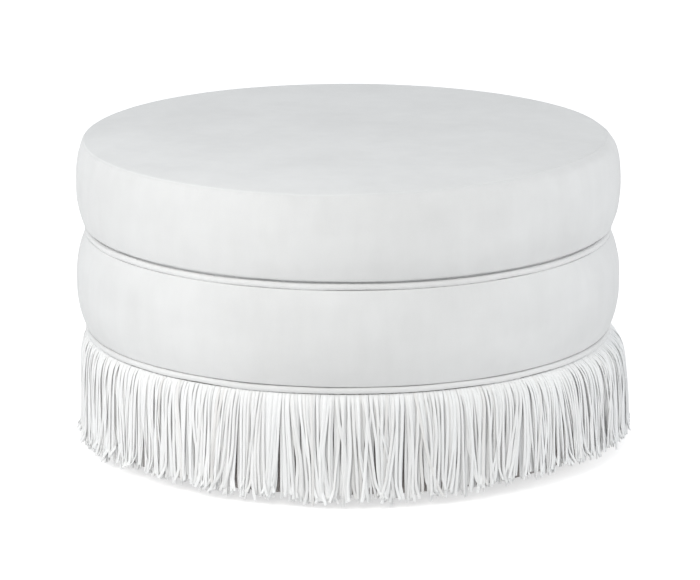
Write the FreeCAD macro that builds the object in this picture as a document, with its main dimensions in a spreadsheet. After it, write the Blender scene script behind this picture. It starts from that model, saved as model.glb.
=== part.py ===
"""Round upholstered tuffet: a plywood drum, two foam tiers in fabric, and a fringe of hanging strips.

Millimetres, +Z up, origin at the centre of the floor under the tuffet.
"""
import FreeCAD
import Part
import Sketcher
import math
import os

Vector = FreeCAD.Vector
UP = Vector(0, 0, 1)

# Driving dimensions: name, value, meaning
SIZES = [
    ("seat_height", 400.0, "floor to the top of the crown"),
    ("body_radius", 350.0, "widest radius of both tiers"),
    ("upper_tier_height", 121.0, "upper welt's middle to the top of the crown"),
    ("lower_tier_height", 131.0, "lower welt's middle to the upper welt's middle"),
    ("side_bulge", 12.0, "how far a tier's side stands out past its drawn-in edge"),
    ("upper_bulge_rise", 62.0, "upper welt's middle to the upper tier's widest line"),
    ("crown_rise", 5.0, "how far the middle of the seat stands above its edge"),
    ("foam_round", 3.0, "rounding of the seat foam's top edge"),
    ("fabric", 1.2, "thickness of the cover fabric"),
    ("wadding", 4.8, "thickness of the polyester wadding"),
    ("tuck_cover", 1.7, "drawn-in edge outside the tack strip"),
    ("welt_radius", 4.0, "radius of a covered welt"),
    ("hem_height", 12.0, "height of a stapled hem or welt flange"),
    ("tack_strip_wall", 1.5, "thickness of the cardboard tack strip"),
    ("tack_strip_height", 10.0, "height of the tack strip"),
    ("shell_wall", 3.0, "hardboard bent round the frame"),
    ("shell_joint", 1.0, "butt joint of the hardboard"),
    ("floor_gap", 15.0, "floor to the underside of the base board"),
    ("ply_thickness", 15.0, "base board, deck and deck ring"),
    ("deck_rise", 10.0, "deck's top above the upper welt's middle"),
    ("ring_width", 77.0, "width of the plywood rings"),
    ("waist_ring_height", 30.0, "two plies glued together"),
    ("waist_ring_drop", 17.0, "underside of the waist ring below the lower welt's middle"),
    ("post_count", 8.0, "upright posts"),
    ("post_depth", 30.0, "post, towards the centre"),
    ("post_breadth", 45.0, "post, along the rim"),
    ("post_inset", 17.0, "post's outer face inside the frame's rim"),
    ("notch_play", 0.3, "room round a post in a ring's notch"),
    ("vent_radius", 12.0, "breather hole in the boards"),
    ("vent_circle_radius", 150.0, "circle of breather holes"),
    ("vent_count", 6.0, "breather holes on that circle"),
    ("tape_wall", 1.5, "thickness of the fringe tape"),
    ("tape_height", 14.0, "height of the fringe tape"),
    ("tape_staple_rise", 3.0, "tape's staples above its lower edge"),
    ("strand_width", 4.4, "width of one strip of the fringe"),
    ("strand_wall", 1.6, "thickness of one strip"),
    ("strand_count", 240.0, "strips in each of the two layers"),
    ("strand_play", 0.2, "gap between a strip and what it hangs against"),
    ("strand_sway", 5.5, "sideways swing of a strip's end"),
    ("fringe_gap", 4.0, "floor to the longest strip"),
    ("fringe_ragged", 5.0, "spread of the strips' ends"),
    ("plinth_turn", 31.0, "plinth fabric turned in under the base board"),
    ("dust_cover_wall", 0.8, "thickness of the non-woven dust cover"),
    ("dust_cover_lap", 18.0, "dust cover over the turned plinth fabric"),
    ("dust_cover_slope", 8.0, "slope of the dust cover down to that fabric"),
    ("foot_count", 6.0, "feet"),
    ("foot_inset", 77.0, "middle of a foot inside the frame's rim"),
    ("foot_radius", 22.5, "radius of a foot"),
    ("foot_edge", 2.0, "chamfer round a foot's sole"),
    ("foot_recess_radius", 6.5, "recess for the foot's screw"),
    ("foot_recess_depth", 7.0, "depth of that recess"),
    ("screw_radius", 2.25, "radius of a screw's shank"),
    ("screw_head_radius", 4.5, "radius of a screw's head"),
    ("screw_head_height", 3.0, "height of the countersunk head"),
    ("screw_tip", 6.0, "length of a screw's point"),
    ("screw_slot", 1.0, "width of the drive cross"),
    ("screw_slot_depth", 1.6, "depth of the drive cross"),
    ("frame_screw_length", 60.0, "screws through the boards into the posts"),
    ("screw_offset", 12.0, "each of a post's two end screws from its middle"),
    ("ring_screw_length", 38.0, "screws through the waist ring into the posts"),
    ("foot_screw_length", 18.0, "screws through the feet into the base board"),
    ("staple_count", 24.0, "staples in one row"),
    ("staple_crown", 10.0, "length of a staple's crown"),
    ("staple_wire", 0.6, "thickness of staple wire"),
    ("staple_leg", 13.0, "length of a staple's legs"),
]

doc = FreeCAD.newDocument("tuffet")
sheet = doc.addObject("Spreadsheet::Sheet", "dims")


class Size:
    """A length that carries its number and the sheet formula that gives it."""

    def __init__(self, number, formula):
        self.number = number
        self.formula = formula

    def joined(self, sign, other, number):
        return Size(number, f"({self.formula} {sign} {as_size(other).formula})")

    def __add__(self, other):
        return self.joined("+", other, self.number + as_size(other).number)

    def __sub__(self, other):
        return self.joined("-", other, self.number - as_size(other).number)

    def __mul__(self, other):
        return self.joined("*", other, self.number * as_size(other).number)

    def __truediv__(self, other):
        return self.joined("/", other, self.number / as_size(other).number)

    def __neg__(self):
        return as_size(0) - self


def as_size(value):
    return value if isinstance(value, Size) else Size(float(value), repr(float(value)))


def root(value):
    return Size(math.sqrt(value.number), f"sqrt({value.formula})")


def fill_sheet():
    """Writes the driving dimensions into the sheet and returns each as a Size."""
    for row, (alias, value, meaning) in enumerate(SIZES, start=1):
        sheet.set(f"A{row}", meaning)
        sheet.set(f"B{row}", str(value))
        sheet.setAlias(f"B{row}", alias)
    doc.recompute()
    return {alias: Size(float(sheet.get(alias)), f"dims.{alias}") for alias, _, _ in SIZES}


D = fill_sheet()

# Levels, from the crown down and from the floor up
UPPER_WELT = D["seat_height"] - D["upper_tier_height"]
LOWER_WELT = UPPER_WELT - D["lower_tier_height"]
SEAT_EDGE = D["seat_height"] - D["crown_rise"]
SEAT_UNDER = UPPER_WELT + D["welt_radius"]
BAND_TOP = UPPER_WELT - D["welt_radius"]
BAND_UNDER = LOWER_WELT + D["welt_radius"]
FRINGE_TOP = LOWER_WELT - D["welt_radius"]
DECK_TOP = UPPER_WELT + D["deck_rise"]
DECK_UNDER = DECK_TOP - D["ply_thickness"]
DECK_RING_UNDER = DECK_UNDER - D["ply_thickness"]
WAIST_RING_UNDER = LOWER_WELT - D["waist_ring_drop"]
BASE_TOP = D["floor_gap"] + D["ply_thickness"]
FOOT_TOP = D["floor_gap"] - D["dust_cover_wall"]
TURN_UNDER = D["floor_gap"] - D["fabric"]

# Radii, from the drawn-in edge of the tiers through the layers to the frame's rim
PINCH_RADIUS = D["body_radius"] - D["side_bulge"]
TACK_RADIUS = PINCH_RADIUS - D["tuck_cover"]
BAND_HEM_RADIUS = TACK_RADIUS - D["tack_strip_wall"]
FLANGE_RADIUS = BAND_HEM_RADIUS - D["fabric"]
HEM_RADIUS = FLANGE_RADIUS - D["fabric"] * 2
SHELL_RADIUS = HEM_RADIUS - D["fabric"]
FRAME_RADIUS = SHELL_RADIUS - D["shell_wall"]
RING_BORE_RADIUS = FRAME_RADIUS - D["ring_width"]
POST_OUTER = FRAME_RADIUS - D["post_inset"]
POST_MIDDLE = POST_OUTER - D["post_depth"] / 2
FOOT_CIRCLE_RADIUS = FRAME_RADIUS - D["foot_inset"]
WELT_CIRCLE_RADIUS = HEM_RADIUS + D["welt_radius"]
TAPE_RADIUS = HEM_RADIUS + D["tape_wall"]
TURN_RADIUS = HEM_RADIUS - D["plinth_turn"]


def origin_of(body, role):
    return next(feature for feature in body.Origin.OriginFeatures if feature.Role == role)


def new_body(label):
    body = doc.addObject("PartDesign::Body", label)
    body.Label = label
    body.AllowCompound = True
    return body


def new_sketch(body, name, role):
    sketch = body.newObject("Sketcher::SketchObject", name)
    sketch.AttachmentSupport = [(origin_of(body, role), "")]
    sketch.MapMode = "FlatFace"
    return sketch


def tie(sketch, kind, where, value):
    """Adds one distance or radius constraint bound to the sheet."""
    number = sketch.addConstraint(Sketcher.Constraint(kind, *where, value.number))
    sketch.setExpression(f"Constraints[{number}]", value.formula)


def tie_point(sketch, edge, end, across, level):
    """Ties a point's coordinates: 0 lies on an axis, and None is left to the curves that meet there."""
    if across == 0:
        sketch.addConstraint(Sketcher.Constraint("PointOnObject", edge, end, -2))
    elif across is not None:
        tie(sketch, "DistanceX", (-1, 1, edge, end), across)
    if level == 0:
        sketch.addConstraint(Sketcher.Constraint("PointOnObject", edge, end, -1))
    elif level is not None:
        tie(sketch, "DistanceY", (-1, 1, edge, end), level)


def point_of(pair):
    return Vector(as_size(pair[0]).number, as_size(pair[1]).number, 0)


def draw_outline(sketch, corners, arcs, loose):
    """Closed outline through (across, level) corners.

    arcs gives (centre across, centre level, radius) by edge number. loose gives, by corner number, the
    (across, level) that are tied where the curves that meet there settle the rest.
    """
    points = [point_of(corner) for corner in corners]
    total = len(corners)
    for edge in range(total):
        start, end = points[edge], points[(edge + 1) % total]
        if edge in arcs:
            centre = point_of(arcs[edge][:2])
            angles = [math.atan2(p.y - centre.y, p.x - centre.x) for p in (start, end)]
            sketch.addGeometry(Part.ArcOfCircle(Part.Circle(centre, UP, arcs[edge][2].number), *angles))
        else:
            sketch.addGeometry(Part.LineSegment(start, end))
    for edge in range(total):
        sketch.addConstraint(Sketcher.Constraint("Coincident", edge, 2, (edge + 1) % total, 1))
    for edge, (centre_across, centre_level, radius) in arcs.items():
        tie_point(sketch, edge, 3, centre_across, centre_level)
        tie(sketch, "Radius", (edge,), radius)
    for edge, corner in enumerate(corners):
        tie_point(sketch, edge, 1, *loose.get(edge, corner))


def turned(label, corners, arcs=None, loose=None):
    """A body turned about Z from an outline of (radius, level) corners."""
    body = new_body(label)
    sketch = new_sketch(body, label + "_sketch", "XZ_Plane")
    draw_outline(sketch, corners, arcs or {}, loose or {})
    turn = body.newObject("PartDesign::Revolution", label + "_turn")
    turn.Profile = sketch
    turn.ReferenceAxis = (origin_of(body, "Z_Axis"), [""])
    turn.Angle = 360
    doc.recompute()
    return body


def tube(label, inner, outer, low, high):
    return turned(label, [(inner, low), (outer, low), (outer, high), (inner, high)])


def disc(label, radius, low, high):
    return turned(label, [(0, low), (radius, low), (radius, high), (0, high)])


def repeat_round(body, feature, count):
    """Repeats a feature of the body round Z."""
    pattern = body.newObject("PartDesign::PolarPattern", body.Name + "_pattern")
    pattern.Originals = [feature]
    pattern.Axis = (origin_of(body, "Z_Axis"), [""])
    pattern.Angle = 360
    pattern.setExpression("Occurrences", count.formula)
    body.Tip = pattern
    doc.recompute()


def draw_post(sketch, play):
    """Plan of one post on the X axis, with play all round it."""
    inner = POST_OUTER - D["post_depth"] - play
    outer = POST_OUTER + play
    half = D["post_breadth"] / 2 + play
    draw_outline(sketch, [(inner, -half), (outer, -half), (outer, half), (inner, half)], {}, {})


def boolean(kind, label, base, tool):
    """Part::Cut, Part::Common or Part::Fuse of two objects."""
    made = doc.addObject("Part::" + kind, label)
    made.Label = label
    made.Base = base
    made.Tool = tool
    doc.recompute()
    return made


def drill(label, base, tools):
    """Cuts tools that don't touch each other out of the base in one go."""
    gathered = doc.addObject("Part::Compound", label + "_holes")
    gathered.Links = tools
    return boolean("Cut", label, base, gathered)


def box(label, sides, corner):
    """Part::Box from its three sides and its low corner."""
    made = doc.addObject("Part::Box", label)
    for name, value in zip(("Length", "Width", "Height"), sides):
        made.setExpression(name, value.formula)
    for name, value in zip("xyz", corner):
        made.setExpression(f"Placement.Base.{name}", value.formula)
    doc.recompute()
    return made


def torus(label, circle_radius, radius, level):
    made = doc.addObject("Part::Torus", label)
    made.Label = label
    made.setExpression("Radius1", circle_radius.formula)
    made.setExpression("Radius2", radius.formula)
    made.setExpression("Placement.Base.z", level.formula)
    doc.recompute()
    return made


def copies(label, source, placements):
    """A node of separate solids: the source at each placement."""
    shapes = []
    for placement in placements:
        shape = source.Shape.copy()
        shape.Placement = placement
        shapes.append(shape)
    made = doc.addObject("Part::Feature", label)
    made.Label = label
    made.Shape = Part.makeCompound(shapes)
    return made


def at(turn, radius, level, tilt=0.0, along=0.0):
    """Placement at a turn about Z, after a tilt about Y and a move out, up and along the rim."""
    place = Vector(radius.number, along, level.number)
    local = FreeCAD.Placement(place, FreeCAD.Rotation(Vector(0, 1, 0), tilt))
    return FreeCAD.Placement(Vector(), FreeCAD.Rotation(UP, turn)).multiply(local)


def turns_of(count):
    total = round(count.number)
    return [360.0 * number / total for number in range(total)]


# Screws and staples
class Screw:
    """Countersunk screw with its head's face at the origin, pointing down -Z."""

    def __init__(self, label, length):
        self.blank = turned(label + "_blank", [
            (0, 0),
            (D["screw_head_radius"], 0),
            (D["screw_radius"], -D["screw_head_height"]),
            (D["screw_radius"], D["screw_tip"] - length),
            (0, -length),
        ])
        half = D["screw_slot"] / 2
        reach = D["screw_head_radius"] / 2
        depth = D["screw_slot_depth"]
        long_way = box(label + "_slot_x", (reach * 2, half * 2, depth), (-reach, -half, -depth))
        short_way = box(label + "_slot_y", (half * 2, reach * 2, depth), (-half, -reach, -depth))
        cross = boolean("Fuse", label + "_cross", long_way, short_way)
        self.whole = boolean("Cut", label, self.blank, cross)

    def place(self, label, placements):
        """Makes the node of screws and returns the holes that they fill."""
        copies(label, self.whole, placements)
        return copies(label + "_room", self.blank, placements)


def make_screws():
    """Two screws into each end of each post, one through the waist ring into its side, one up each foot."""
    frame_screw = Screw("frame_screw", D["frame_screw_length"])
    ring_screw = Screw("ring_screw", D["ring_screw_length"])
    foot_screw = Screw("foot_screw", D["foot_screw_length"])
    offset = D["screw_offset"].number
    pairs = [(turn, along) for turn in turns_of(D["post_count"]) for along in (-offset, offset)]
    ring_middle = WAIST_RING_UNDER + D["waist_ring_height"] / 2
    deck = [at(turn, POST_MIDDLE, DECK_TOP, 0, along) for turn, along in pairs]
    base = [at(turn, POST_MIDDLE, D["floor_gap"], 180, along) for turn, along in pairs]
    ring = [at(turn, FRAME_RADIUS, ring_middle, 90) for turn in turns_of(D["post_count"])]
    feet = [at(turn, FOOT_CIRCLE_RADIUS, D["foot_recess_depth"], 180) for turn in turns_of(D["foot_count"])]
    return {
        "deck_screws": frame_screw.place("deck_screws", deck),
        "base_screws": frame_screw.place("base_screws", base),
        "ring_screws": ring_screw.place("ring_screws", ring),
        "foot_screws": foot_screw.place("foot_screws", feet),
    }


def make_staple():
    """Staple with the underside of its crown at the origin, lying along Y, legs pointing down -Z."""
    wire = D["staple_wire"]
    half = D["staple_crown"] / 2
    height = D["staple_leg"] + wire
    crown = box("staple_top", (wire, D["staple_crown"], wire), (-wire / 2, -half, as_size(0)))
    left = box("staple_left", (wire, wire, height), (-wire / 2, -half, -D["staple_leg"]))
    right = box("staple_right", (wire, wire, height), (-wire / 2, half - wire, -D["staple_leg"]))
    return boolean("Fuse", "staple", boolean("Fuse", "staple_corner", crown, left), right)


def make_staples():
    """Rows of staples through both tack strips, the fringe tape and the dust cover."""
    staple = make_staple()
    half_row = 180.0 / round(D["staple_count"].number)
    strip_middle = D["fabric"] + D["tack_strip_height"] / 2
    tape_row = FRINGE_TOP - D["tape_height"] + D["tape_staple_rise"]
    lap_middle = TURN_RADIUS + D["dust_cover_lap"] / 2
    rows = {
        "upper_tack_staples": (TACK_RADIUS, BAND_TOP - strip_middle, 90),
        "lower_tack_staples": (TACK_RADIUS, BAND_UNDER + strip_middle, 90),
        "tape_staples": (TAPE_RADIUS, tape_row, 90),
        "dust_cover_staples": (lap_middle, TURN_UNDER - D["dust_cover_wall"], 180),
    }
    return {
        label: copies(label, staple, [at(turn + half_row, *row) for turn in turns_of(D["staple_count"])])
        for label, row in rows.items()
    }


# The drum
def make_posts(holes):
    body = new_body("posts_blank")
    sketch = new_sketch(body, "post_sketch", "XY_Plane")
    sketch.setExpression("AttachmentOffset.Base.z", BASE_TOP.formula)
    draw_post(sketch, as_size(0))
    pad = body.newObject("PartDesign::Pad", "post_pad")
    pad.Profile = sketch
    pad.setExpression("Length", (DECK_UNDER - BASE_TOP).formula)
    doc.recompute()
    repeat_round(body, pad, D["post_count"])
    drill("posts", body, [holes["deck_screws"], holes["base_screws"], holes["ring_screws"]])


def make_notched_ring(label, low, high, holes):
    """Plywood ring with a notch round each post."""
    body = tube(label + "_blank", RING_BORE_RADIUS, FRAME_RADIUS, low, high)
    sketch = new_sketch(body, label + "_notch_sketch", "XY_Plane")
    draw_post(sketch, D["notch_play"])
    notch = body.newObject("PartDesign::Pocket", label + "_notch")
    notch.Profile = sketch
    notch.Type = "ThroughAll"
    notch.Midplane = True
    doc.recompute()
    repeat_round(body, notch, D["post_count"])
    drill(label, body, holes)


def make_boards(holes):
    """Deck and base board, with breather holes in line."""
    vent = disc("vent", D["vent_radius"], TURN_UNDER, SEAT_EDGE)
    outer = [at(turn, D["vent_circle_radius"], as_size(0)) for turn in turns_of(D["vent_count"])]
    vents = copies("vents", vent, [FreeCAD.Placement()] + outer)
    deck = disc("deck_blank", FRAME_RADIUS, DECK_UNDER, DECK_TOP)
    drill("deck_board", deck, [vents, holes["deck_screws"]])
    base = disc("base_blank", FRAME_RADIUS, D["floor_gap"], BASE_TOP)
    drill("base_board", base, [vents, holes["base_screws"], holes["foot_screws"], holes["dust_cover_staples"]])


def make_shell(holes):
    """Hardboard bent round the frame, with its butt joint at the back."""
    blank = tube("shell_blank", FRAME_RADIUS, SHELL_RADIUS, D["floor_gap"], DECK_TOP)
    joint = D["shell_joint"]
    sides = (joint, D["shell_wall"] * 2, DECK_TOP)
    gap = box("shell_gap", sides, (-joint / 2, FRAME_RADIUS - D["shell_wall"] / 2, as_size(0)))
    drill("drum_shell", blank, [gap] + holes)


def make_feet(holes):
    """Turned plastic feet with a screw recess in the sole."""
    foot = turned("foot", [
        (0, D["foot_recess_depth"]),
        (D["foot_recess_radius"], D["foot_recess_depth"]),
        (D["foot_recess_radius"], 0),
        (D["foot_radius"] - D["foot_edge"], 0),
        (D["foot_radius"], D["foot_edge"]),
        (D["foot_radius"], FOOT_TOP),
        (0, FOOT_TOP),
    ])
    places = [at(turn, FOOT_CIRCLE_RADIUS, as_size(0)) for turn in turns_of(D["foot_count"])]
    drill("feet", copies("feet_blank", foot, places), [holes["foot_screws"]])


# Upper tier
def seat_form(label, inset, under):
    """Solid of the upper tier, smaller all round by inset, with a crowned top and a bulging side."""
    bulge_level = UPPER_WELT + D["upper_bulge_rise"]
    half = bulge_level - SEAT_UNDER
    side = (half * half + D["side_bulge"] * D["side_bulge"]) / (D["side_bulge"] * 2)
    side_centre = D["body_radius"] - side
    reach = SEAT_EDGE - bulge_level
    edge_radius = side_centre + root(side * side - reach * reach)
    rise = D["crown_rise"]
    crown = (edge_radius * edge_radius + rise * rise) / (rise * 2)
    top = D["seat_height"] - inset
    body = turned(
        label,
        [(0, under), (PINCH_RADIUS - inset, under), (edge_radius - inset, SEAT_EDGE - inset), (0, top)],
        {1: (side_centre, bulge_level, side - inset), 2: (0, D["seat_height"] - crown, crown - inset)},
        {1: (None, under), 2: (None, None), 3: (0, None)},
    )
    turn = body.Tip
    edges = enumerate(turn.Shape.Edges, start=1)
    rims = [(number, edge) for number, edge in edges if edge.Closed and not edge.Degenerated]
    top_rim = max(rims, key=lambda rim: rim[1].BoundBox.ZMin)
    rounding = body.newObject("PartDesign::Fillet", label + "_rounding")
    rounding.Base = (turn, [f"Edge{top_rim[0]}"])
    rounding.setExpression("Radius", (D["foam_round"] + D["wadding"] + D["fabric"] - inset).formula)
    body.Tip = rounding
    doc.recompute()
    return body, edge_radius


def make_upper_tier(holes):
    """Foam, wadding and cover, whose top panel meets the boxing in a seam round the edge."""
    drum = disc("drum_room", SHELL_RADIUS, as_size(0), DECK_TOP)
    outer, edge_radius = seat_form("seat_outer", as_size(0), SEAT_UNDER)
    lining, _ = seat_form("seat_lining", D["fabric"], SEAT_UNDER + D["fabric"])
    foam, _ = seat_form("seat_foam", D["wadding"] + D["fabric"], DECK_TOP)
    boolean("Cut", "seat_wadding", boolean("Cut", "seat_layer", lining, foam), drum)
    cover = boolean("Cut", "seat_cover", boolean("Cut", "seat_skin", outer, lining), drum)
    beyond = D["side_bulge"]
    seam = turned("seam_cone", [
        (0, SEAT_EDGE - edge_radius),
        (edge_radius + beyond, SEAT_EDGE + beyond),
        (0, SEAT_EDGE + beyond),
    ])
    boolean("Common", "top_panel", cover, seam)
    side = boolean("Cut", "upper_boxing_side", cover, seam)
    hem = tube("upper_hem", SHELL_RADIUS, HEM_RADIUS, UPPER_WELT - D["hem_height"], SEAT_UNDER + D["fabric"])
    drill("upper_boxing", boolean("Fuse", "upper_boxing_blank", side, hem), [holes["upper_tack_staples"]])


# Lower tier
def band_form(label, inset):
    """Ring of the lower tier outside the shell, smaller by inset, with a bulging side."""
    half = (BAND_TOP - BAND_UNDER) / 2
    middle = (BAND_TOP + BAND_UNDER) / 2
    side = (half * half + D["side_bulge"] * D["side_bulge"]) / (D["side_bulge"] * 2)
    top = BAND_TOP - inset
    under = BAND_UNDER + inset
    across = PINCH_RADIUS - inset
    return turned(
        label,
        [(SHELL_RADIUS, under), (across, under), (across, top), (SHELL_RADIUS, top)],
        {1: (D["body_radius"] - side, middle, side - inset)},
        {1: (None, under), 2: (None, top)},
    )


def make_lower_tier(holes):
    """Foam, wadding and boxing, back-tacked to the drum at both waists."""
    height = D["tack_strip_height"]
    strip_top = BAND_TOP - D["fabric"]
    strip_under = BAND_UNDER + D["fabric"]
    ledge = height + D["fabric"] * 2
    zone_radius = TACK_RADIUS + D["staple_wire"]
    upper_zone = tube("upper_tack_room", SHELL_RADIUS, zone_radius, BAND_TOP - ledge, BAND_TOP)
    lower_zone = tube("lower_tack_room", SHELL_RADIUS, zone_radius, BAND_UNDER, BAND_UNDER + ledge)
    outer = band_form("band_outer", as_size(0))
    lining = band_form("band_lining", D["fabric"])
    foam = band_form("band_foam", D["wadding"] + D["fabric"])
    drill("side_foam", foam, [upper_zone, lower_zone])
    drill("side_wadding", boolean("Cut", "band_layer", lining, foam), [upper_zone, lower_zone])
    flanges = disc("flange_room", FLANGE_RADIUS, BAND_UNDER, BAND_TOP)
    cover = boolean("Cut", "band_cover", boolean("Cut", "band_skin", outer, lining), flanges)
    upper_hem = tube("band_upper_hem", FLANGE_RADIUS, BAND_HEM_RADIUS, strip_top - height, BAND_TOP)
    lower_hem = tube("band_lower_hem", FLANGE_RADIUS, BAND_HEM_RADIUS, BAND_UNDER, strip_under + height)
    hemmed = boolean("Fuse", "band_hemmed", boolean("Fuse", "band_top_hemmed", cover, upper_hem), lower_hem)
    drill("lower_boxing", hemmed, [holes["upper_tack_staples"], holes["lower_tack_staples"]])
    upper_strip = tube("upper_strip", BAND_HEM_RADIUS, TACK_RADIUS, strip_top - height, strip_top)
    lower_strip = tube("lower_strip", BAND_HEM_RADIUS, TACK_RADIUS, strip_under, strip_under + height)
    drill("upper_tack_strip", upper_strip, [holes["upper_tack_staples"]])
    drill("lower_tack_strip", lower_strip, [holes["lower_tack_staples"]])


def make_welt(label, level, far, staples):
    """Fabric rolled round a cord, with its flange against the drum from the welt's middle to far."""
    cord = torus(label + "_cord", WELT_CIRCLE_RADIUS, D["welt_radius"] - D["fabric"], level)
    roll = torus(label + "_roll", WELT_CIRCLE_RADIUS, D["welt_radius"], level)
    low, high = sorted((level, far), key=lambda size: size.number)
    flange = tube(label + "_flange", HEM_RADIUS, FLANGE_RADIUS, low, high)
    blank = boolean("Fuse", label + "_blank", roll, flange)
    drill(label, blank, [cord, staples])


def make_plinth(holes):
    """Fabric over the drum below the lower tier, turned in under the base board."""
    hem_top = LOWER_WELT + D["hem_height"]
    blank = turned("plinth_blank", [
        (TURN_RADIUS, TURN_UNDER),
        (HEM_RADIUS, TURN_UNDER),
        (HEM_RADIUS, hem_top),
        (SHELL_RADIUS, hem_top),
        (SHELL_RADIUS, D["floor_gap"]),
        (TURN_RADIUS, D["floor_gap"]),
    ])
    drill("plinth_cover", blank, [holes["dust_cover_staples"], holes["lower_tack_staples"], holes["tape_staples"]])


def make_dust_cover(holes):
    """Non-woven sheet under the base board, lapped over the turned plinth fabric."""
    wall = D["dust_cover_wall"]
    slope_start = TURN_RADIUS - D["dust_cover_slope"]
    slope_end = TURN_RADIUS - wall
    rim = TURN_RADIUS + D["dust_cover_lap"]
    blank = turned("dust_cover_blank", [
        (0, FOOT_TOP),
        (slope_start, FOOT_TOP),
        (slope_end, TURN_UNDER - wall),
        (rim, TURN_UNDER - wall),
        (rim, TURN_UNDER),
        (slope_end, TURN_UNDER),
        (slope_start, D["floor_gap"]),
        (0, D["floor_gap"]),
    ])
    drill("dust_cover", blank, [holes["foot_screws"], holes["dust_cover_staples"]])


# Fringe: (waves round the rim, phase, share) of the strips' uneven swing and length
SWAY_WAVES = [(11, 0.4, 0.7), (23, 2.1, 1.0), (31, 4.0, 0.8)]
END_WAVES = [(37, 1.2, 1.0), (59, 3.3, 1.0), (83, 0.2, 1.0)]
# Shares of a strip's fall at which its cross-section is set
STATIONS = (0.0, 0.14, 0.38, 0.68, 1.0)
# A strip leaves the tape quickly and then hangs, and its sideways swing grows as it falls
OUTWARD_POWER = 3.0
SWAY_POWER = 1.5


def ripple(turn, waves):
    """Smooth uneven swing between -1 and 1 that closes round the rim."""
    total = sum(share for _, _, share in waves)
    return sum(share * math.sin(count * turn + phase) for count, phase, share in waves) / total


def strand(turn, sewn_radius, hang_radius, phase):
    """One strip: a loft through level rectangles from the tape to the strip's end."""
    sway = D["strand_sway"].number * ripple(turn + phase, SWAY_WAVES)
    ragged = D["fringe_ragged"].number * (1 + ripple(turn + phase, END_WAVES)) / 2
    top = (FRINGE_TOP - D["strand_play"]).number
    end = D["fringe_gap"].number + ragged
    outward = Vector(math.cos(turn), math.sin(turn), 0)
    along = Vector(-math.sin(turn), math.cos(turn), 0)
    half_width = along * (D["strand_width"].number / 2)
    half_wall = outward * (D["strand_wall"].number / 2)
    sections = []
    for fallen in STATIONS:
        swing = 1 - (1 - fallen) ** OUTWARD_POWER
        radius = sewn_radius + (hang_radius - sewn_radius) * swing
        middle = outward * radius + along * (sway * fallen ** SWAY_POWER)
        middle.z = top + (end - top) * fallen
        inner_left = middle - half_width - half_wall
        inner_right = middle + half_width - half_wall
        outer_right = middle + half_width + half_wall
        outer_left = middle - half_width + half_wall
        sections.append(Part.makePolygon([inner_left, inner_right, outer_right, outer_left, inner_left]))
    return Part.makeLoft(sections, True)


def make_fringe(holes):
    """Tape round the drum, with an inner and an outer layer of strips sewn on under the welt."""
    tape = tube("tape_blank", HEM_RADIUS, TAPE_RADIUS, FRINGE_TOP - D["tape_height"], FRINGE_TOP)
    drill("fringe_tape", tape, [holes["tape_staples"]])
    inner_sewn = TAPE_RADIUS + D["strand_play"] + D["strand_wall"] / 2
    outer_sewn = inner_sewn + D["strand_wall"] + D["strand_play"]
    outer_hang = D["body_radius"] - D["strand_wall"]
    inner_hang = (inner_sewn + outer_hang) / 2
    layers = (
        ("fringe_strands_inner", inner_sewn, inner_hang, 0.5, 1.7),
        ("fringe_strands_outer", outer_sewn, outer_hang, 0.0, 0.0),
    )
    step = 360.0 / round(D["strand_count"].number)
    for label, sewn, hang, stagger, phase in layers:
        turns = [math.radians(turn + step * stagger) for turn in turns_of(D["strand_count"])]
        made = doc.addObject("Part::Feature", label)
        made.Label = label
        made.Shape = Part.makeCompound([strand(turn, sewn.number, hang.number, phase) for turn in turns])


PARTS = [
    "seat_foam", "seat_wadding", "top_panel", "upper_boxing", "upper_welt", "upper_welt_cord",
    "side_foam", "side_wadding", "lower_boxing", "upper_tack_strip", "lower_tack_strip",
    "upper_tack_staples", "lower_tack_staples", "lower_welt", "lower_welt_cord",
    "fringe_tape", "tape_staples", "fringe_strands_inner", "fringe_strands_outer",
    "plinth_cover", "drum_shell", "deck_board", "deck_ring", "waist_ring", "base_board",
    "posts", "deck_screws", "base_screws", "ring_screws", "dust_cover", "dust_cover_staples",
    "feet", "foot_screws",
]


def build():
    holes = {**make_screws(), **make_staples()}
    upper = holes["upper_tack_staples"]
    lower = holes["lower_tack_staples"]
    tape = holes["tape_staples"]
    waist_ring_top = WAIST_RING_UNDER + D["waist_ring_height"]
    make_posts(holes)
    make_notched_ring("deck_ring", DECK_RING_UNDER, DECK_UNDER, [upper])
    make_notched_ring("waist_ring", WAIST_RING_UNDER, waist_ring_top, [holes["ring_screws"], lower, tape])
    make_boards(holes)
    make_shell([upper, lower, tape])
    make_feet(holes)
    make_upper_tier(holes)
    make_lower_tier(holes)
    make_welt("upper_welt", UPPER_WELT, UPPER_WELT - D["hem_height"], upper)
    make_welt("lower_welt", LOWER_WELT, LOWER_WELT + D["hem_height"], lower)
    make_plinth(holes)
    make_dust_cover(holes)
    make_fringe(holes)


def check_and_write():
    """Stops on any failed object or bad solid, then writes each piece to its own file."""
    doc.recompute()
    failed = [made.Label for made in doc.Objects if "Invalid" in made.State or "Error" in made.State]
    if failed:
        raise RuntimeError(f"these objects failed: {failed}")
    shapes = {made.Label: made.Shape for made in doc.Objects if made.Label in PARTS}
    for label in PARTS:
        if shapes[label].isNull() or not shapes[label].isValid() or not shapes[label].Solids:
            raise RuntimeError(f"{label} has no valid solid")
    os.makedirs("parts", exist_ok=True)
    for label in PARTS:
        shapes[label].exportStep(f"parts/{label}.step")
        print(label, len(shapes[label].Solids), "solids", round(shapes[label].Volume / 1000, 2), "cm3")


build()
check_and_write()
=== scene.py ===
"""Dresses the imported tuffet: velvet tiers, welts, a hanging fringe, lining, finishes, camera and light."""

import math

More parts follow.
